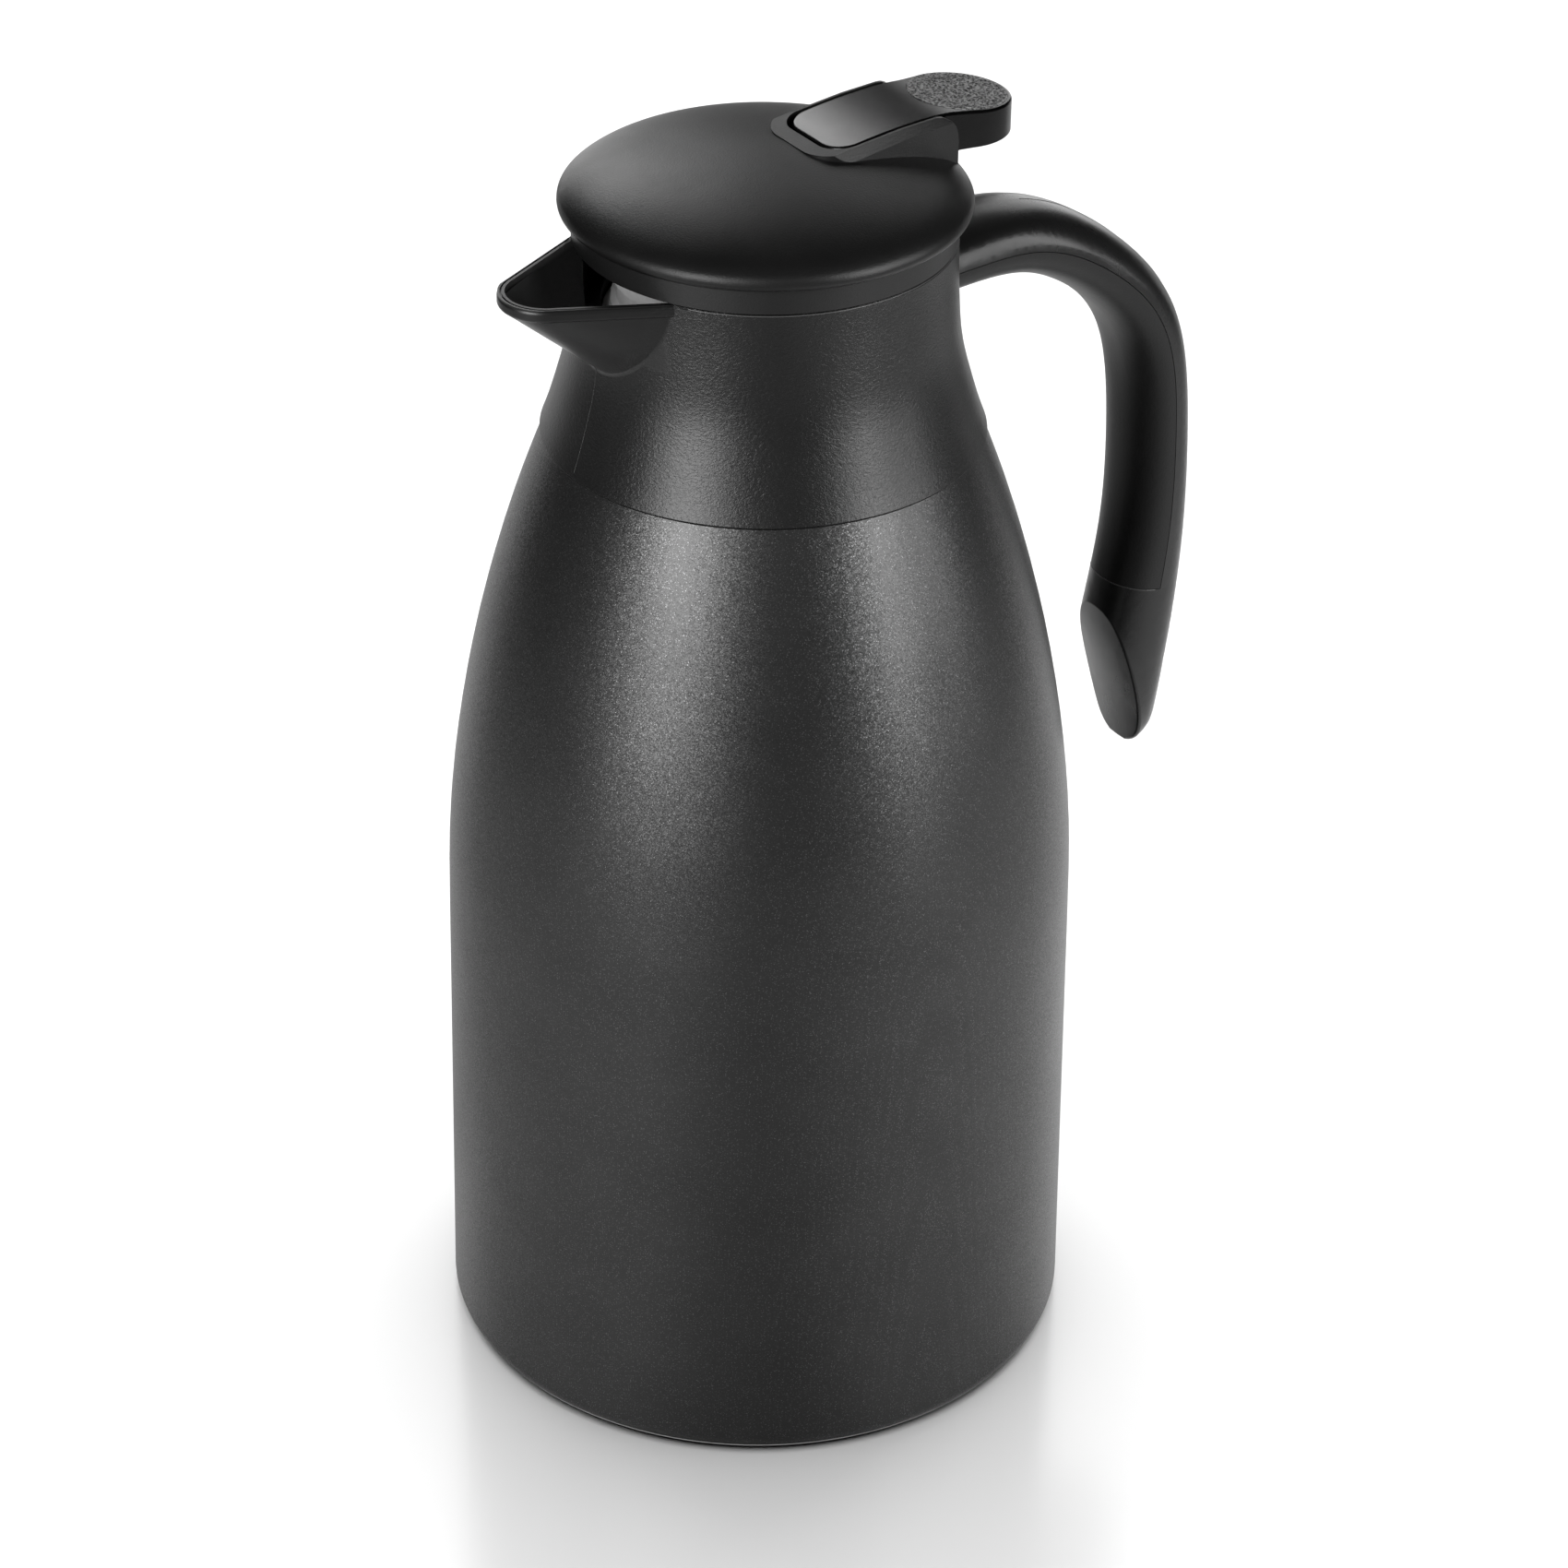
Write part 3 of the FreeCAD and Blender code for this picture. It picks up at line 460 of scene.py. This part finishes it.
line_piece("handle_parting_line", crest, 0.00013, "flask",
           MATS["handle_shell"])

# mould line on the collar, below the spout
bt = tree("collar")
mould = []
for i in range(40):
    z = (218.2 + (240.5 - 218.2) * i / 39.0) * MM
    hit = bt.ray_cast(Vector((-0.1, 0, z)), Vector((1, 0, 0)), 0.1)
    if hit[0] is not None:
        mould.append(hit[0] + Vector((0.00005, 0, 0)))
line_piece("collar_mould_line", mould, 0.00011, "flask", MATS["collar"])

# painted highlight: a light grey line along the bottom edge at the foot of the shell
bt = tree("outer_shell")
foot = []
for i in range(145):
    t = 2 * math.pi * i / 144.0
    d = Vector((math.cos(t), math.sin(t), 0))
    hit = bt.ray_cast(d * 0.1 + Vector((0, 0, 0.0012)), -d, 0.1)
    if hit[0] is not None:
        foot.append(hit[0] - d * 0.00008)
line_piece("foot_edge_highlight_line", foot, 0.00025, "flask",
           plastic("foot_edge_painted_highlight", 0.24, 0.45, 1800.0, 0.00003))

# painted highlight along the bevel at the end of the handle's cover, across the finger side: a thin
# line in a lighter plastic
EDGE_HIGHLIGHT = plastic("edge_painted_highlight", 0.06, 0.33, 2600.0, 0.00002)
trees = (tree("handle_shell"), tree("handle_cover"))
mid = Vector((0.0998, 0, 0.15222))
nrm = Vector((0.989, 0, -0.148))
bevel = []
for i in range(61):
    t = math.radians(97.0 + (263.0 - 97.0) * i / 60.0)
    d = nrm * math.cos(t) + Vector((0, 1, 0)) * math.sin(t)
    best = None
    for b in trees:
        hit = b.ray_cast(mid + d * 0.03, -d, 0.03)
        if hit[0] is not None and (best is None or hit[3] < best[1]):
            best = (hit[0], hit[3])
    if best is not None:
        bevel.append(best[0] - d * 0.00006)
line_piece("handle_cover_bevel_highlight", bevel, 0.00013, "flask", EDGE_HIGHLIGHT)

# painted highlight round the collar's top edge bevel, from one end of the spout to the other: a thin
# line in the same lighter plastic
bt = tree("collar")
rim = []
for i in range(181):
    t = math.radians(-146.0 + 292.0 * i / 180.0)
    d = Vector((math.cos(t), math.sin(t), 0))
    hit = bt.ray_cast(d * 0.06 + Vector((0, 0, 0.26028)), -d, 0.06)
    if hit[0] is not None and (hit[0].xy.length < 0.0396):
        rim.append(hit[0] - d * 0.00004)
line_piece("collar_rim_highlight_line", rim, 0.00013, "flask", EDGE_HIGHLIGHT)


def pad_relief():
    """Pebbled relief on top of the thumb pad."""
    tilt = math.radians(5.2)
    nx, nz = math.sin(tilt), math.cos(tilt)
    top = 281.3 - math.tan(tilt) * (46.8 - 36.5)
    c = Vector((46.8 + 0.10 * nx, 0, top + 0.10 * nz)) * MM
    ex, ey, ez = Vector((nz, 0, -nx)), Vector((0, 1, 0)), Vector((nx, 0, nz))
    step, rad = 0.115, 10.25
    n = int(rad / step) + 1
    bm = bmesh.new()
    grid = {}
    for i in range(-n, n + 1):
        for j in range(-n, n + 1):
            u, v = i * step, j * step
            r = math.hypot(u, v)
            if r > rad:
                continue
            w = noise.noise_vector(Vector((u * 1.3, v * 1.3, 3.1))) * 0.45
            q = Vector((u * 1.75 + w.x, v * 1.75 + w.y, 7.7))
            dist = noise.voronoi(q, distance_metric="DISTANCE", exponent=2.5)[0]
            h = min(1.0, max(0.0, (dist[1] - dist[0]) * 1.9))
            h = h * h * (3 - 2 * h)
            h *= 0.75 + 0.5 * (noise.noise(Vector((u * 0.5, v * 0.5, 1.3))) * 0.5 + 0.5)
            edge = min(1.0, (rad - r) / 0.5)
            hh = (-0.05 + 0.21 * h) * edge - 0.05 * (1 - edge)
            grid[i, j] = bm.verts.new(c + (ex * u + ey * v + ez * hh) * MM)
    for (i, j), v in list(grid.items()):
        k = [(i, j), (i + 1, j), (i + 1, j + 1), (i, j + 1)]
        if all(q in grid for q in k):
            f = bm.faces.new([grid[q] for q in k])
            f.smooth = True
    me = bpy.data.meshes.new("thumb_pad_relief")
    bm.to_mesh(me)
    bm.free()
    o = bpy.data.objects.new("thumb_pad_relief", me)
    scene.collection.objects.link(o)
    me.materials.append(MATS["thumb_pad"])
    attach(o, "lever")
    return o


pad_relief()

# the spring, which shortens as the valve rises, gets a copy with its own mesh on the lid; the
# original is hidden
spring = bpy.data.objects.new("stem_spring_coil", nodes["stem_spring"].data.copy())
scene.collection.objects.link(spring)
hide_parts("stem_spring")
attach(spring, "lid")
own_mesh(spring)


# ------------------------------------------------------------ floor and light
def floor():
    me = bpy.data.meshes.new("floor")
    bm = bmesh.new()
    bmesh.ops.create_circle(bm, cap_ends=True, segments=96, radius=4.6)
    bm.to_mesh(me)
    bm.free()
    o = bpy.data.objects.new("floor", me)
    scene.collection.objects.link(o)
    a = Mat("floor_white")
    n = a.noise(3.0, 3.0)
    pale = a.ramp(n.outputs[0], [(0.3, 0.87), (0.7, 0.89)])
    # painted shade on the floor as the carafe sees it (not the camera): darker in front, lighter
    # round it
    x, y, _ = a.xyz()
    ahead = a.math("ADD", a.math("MULTIPLY", x, TO_CAM.x),
                   a.math("MULTIPLY", y, TO_CAM.y))
    across = a.math("ADD", a.math("MULTIPLY", x, TO_RIGHT.x),
                    a.math("MULTIPLY", y, TO_RIGHT.y))
    turn = a.range(a.math("ARCTAN2", across, ahead), -math.pi, math.pi,
                   0.0, 1.0)
    painted_floor_shade = a.ramp(turn, [(0.0, 0.70), (0.17, 0.35), (0.24, 0.52), (0.41, 0.62),
                         (0.48, 0.27), (0.52, 0.27), (0.59, 0.62),
                         (0.72, 0.78), (1.0, 0.70)])
    far = a.math("SQRT", a.math("ADD", a.math("MULTIPLY", x, x),
                                a.math("MULTIPLY", y, y)))
    painted_floor_shade = a.mix(a.range(far, 0.40, 0.85, 0.0, 1.0, True), painted_floor_shade,
                 (0.10, 0.10, 0.10))
    lp = a.t.nodes.new("ShaderNodeLightPath")
    a.set(color=a.mix(lp.outputs["Is Camera Ray"], painted_floor_shade, pale),
          rough=0.20, spec=0.9)
    # the floor runs out into the white of the room
    glow = a.t.nodes.new("ShaderNodeEmission")
    glow.inputs["Color"].default_value = (1, 1, 1, 1)
    glow.inputs["Strength"].default_value = 1.0
    out = a.math("MULTIPLY", lp.outputs["Is Camera Ray"],
                 a.range(far, 0.45, 1.5, 0.0, 1.0, True))
    blend = a.t.nodes.new("ShaderNodeMixShader")
    a.link(out, blend.inputs[0])
    a.link(a.p.outputs[0], blend.inputs[1])
    a.link(glow.outputs[0], blend.inputs[2])
    a.link(blend.outputs[0], a.out.inputs[0])
    me.materials.append(a.m)
    o.location.z = -0.0002
    return o


def area(name, azimuth, dist, z, w, h, power, aim=(0, 0, 0.14), spread=180.0):
    """A soft box at an azimuth from the camera's side, positive to its
    right."""
    t = math.radians(azimuth)
    d = TO_CAM * math.cos(t) + TO_RIGHT * math.sin(t)
    p = d * dist + Vector((0, 0, z))
    ld = bpy.data.lights.new(name, "AREA")
    ld.shape = "RECTANGLE"
    ld.size, ld.size_y = w, h
    ld.energy = power
    ld.spread = math.radians(spread)
    o = bpy.data.objects.new(name, ld)
    scene.collection.objects.link(o)
    o.location = p
    o.rotation_mode = "QUATERNION"
    o.rotation_quaternion = (p - Vector(aim)).to_track_quat("Z", "Y")
    o.visible_camera = False
    return o


ground = floor()
only_floor = bpy.data.collections.new("floor_only")
only_floor.objects.link(ground)
only_part = bpy.data.collections.new("part_only")
for o in list(scene.objects):
    if o.type == "MESH" and o is not ground:
        only_part.objects.link(o)
# the lever's smooth plate is kept out of the right-hand boxes' glare
part_flagged = bpy.data.collections.new("part_flagged")
for o in only_part.objects:
    if o.name.split(".")[0] != "lever":
        part_flagged.objects.link(o)
wash = area("floor_wash", 180, 0.6, 5.2, 10.0, 10.0, 600.0, (0, 0, 0))
wall = area("floor_back", 180, 4.4, 3.4, 10.0, 6.8, 352.0, (0, 0, 3.4))
for o in (wash, wall):
    o.light_linking.receiver_collection = only_floor
for k, (az, dist, w, p) in enumerate((
        (-47, 1.25, 0.26, 6.9), (-35, 1.25, 0.26, 8.0), (-25, 1.25, 0.26, 3.9),
        (55, 1.25, 0.26, 11.5), (80, 1.25, 0.26, 5.0),
        (-162, 1.25, 0.40, 3.0), (165, 1.25, 0.40, 2.0))):
    o = area("soft_box_%d" % k, az, dist, 0.55, w, 1.05, p)
    o.light_linking.receiver_collection = part_flagged if k in (3, 4) else only_part
back = area("soft_box_top", -164, 1.25, 1.12, 0.55, 0.45, 2.6)
back.light_linking.receiver_collection = only_part

world = bpy.data.worlds.new("studio")
scene.world = world
world.use_nodes = True
wt = world.node_tree
bg = wt.nodes["Background"]
bg.inputs[0].default_value = (1, 1, 1, 1)
wl = wt.nodes.new("ShaderNodeLightPath")
wr = wt.nodes.new("ShaderNodeMapRange")
wr.inputs["To Min"].default_value = 0.015
wr.inputs["To Max"].default_value = 1.0
wt.links.new(wl.outputs["Is Camera Ray"], wr.inputs["Value"])
wt.links.new(wr.outputs[0], bg.inputs[1])
